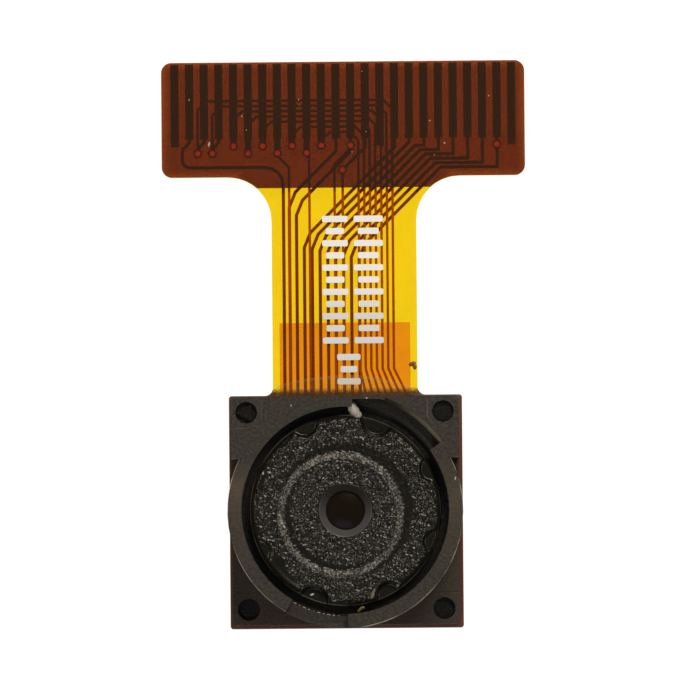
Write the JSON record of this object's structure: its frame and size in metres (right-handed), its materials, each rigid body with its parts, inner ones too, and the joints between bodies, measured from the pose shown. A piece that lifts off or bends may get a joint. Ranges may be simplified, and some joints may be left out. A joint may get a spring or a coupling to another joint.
{
  "type": "camera module",
  "caption": "Fixed-focus camera module: square black lens holder with glued-in barrel on a T-shaped amber flexible circuit that ends in a stiffened contact tongue.",
  "frame": {"origin": "on the optical axis, at the rear face of the head's stiffener plate", "axes": "+Y along the neck from the head to the contact tongue, +Z out of the lens, +X across the contacts"},
  "size_m": [0.0124, 0.0194, 0.0051],
  "materials": {
    "polyimide_film": "clear amber film",
    "coverlay_film": "clear amber film, glossy",
    "stiffener_film": "brown laminate, satin",
    "patch_film": "orange film",
    "copper": "rolled copper",
    "gold_plating": "soft gold plating",
    "stiffener_steel": "rolled stainless sheet",
    "solder": "reflowed solder",
    "silicon": "polished wafer",
    "dam_resin": "cured resin",
    "cover_glass": "polished",
    "filter_glass": "coated, polished",
    "ceramic": "fired ceramic",
    "black_adhesive": "cured glue",
    "holder_plastic": "moulded, fine satin",
    "barrel_plastic": "moulded, spark-eroded grain",
    "shield_film": "blackened film",
    "lens_plastic": "polished, coated",
    "lock_glue": "cured droplet",
    "clear_epoxy": "clear glossy bead"
  },
  "bodies": {
    "root": {"flex_base_film": "polyimide_film", "front_traces": "copper", "rear_traces": "copper", "contact_fingers": "gold_plating", "via_barrels": "copper", "front_coverlay": "coverlay_film", "rear_coverlay": "coverlay_film", "finger_stiffener": "stiffener_film", "neck_patch": "patch_film", "head_stiffener": "stiffener_steel", "solder_balls": "solder", "sensor_die": "silicon", "sensor_dam": "dam_resin", "sensor_cover_glass": "cover_glass", "chip_capacitors": "ceramic", "holder_adhesive": "black_adhesive", "lens_holder": "holder_plastic", "filter_adhesive": "black_adhesive", "ir_cut_filter": "filter_glass", "lens_barrel": "barrel_plastic", "lens_element_1": "lens_plastic", "lens_element_2": "lens_plastic", "lens_element_3": "lens_plastic", "light_shield_1": "shield_film", "light_shield_2": "shield_film", "lens_retainer": "barrel_plastic", "focus_lock_glue": "lock_glue", "neck_epoxy_fillet": "clear_epoxy"}
  },
  "joints": []
}
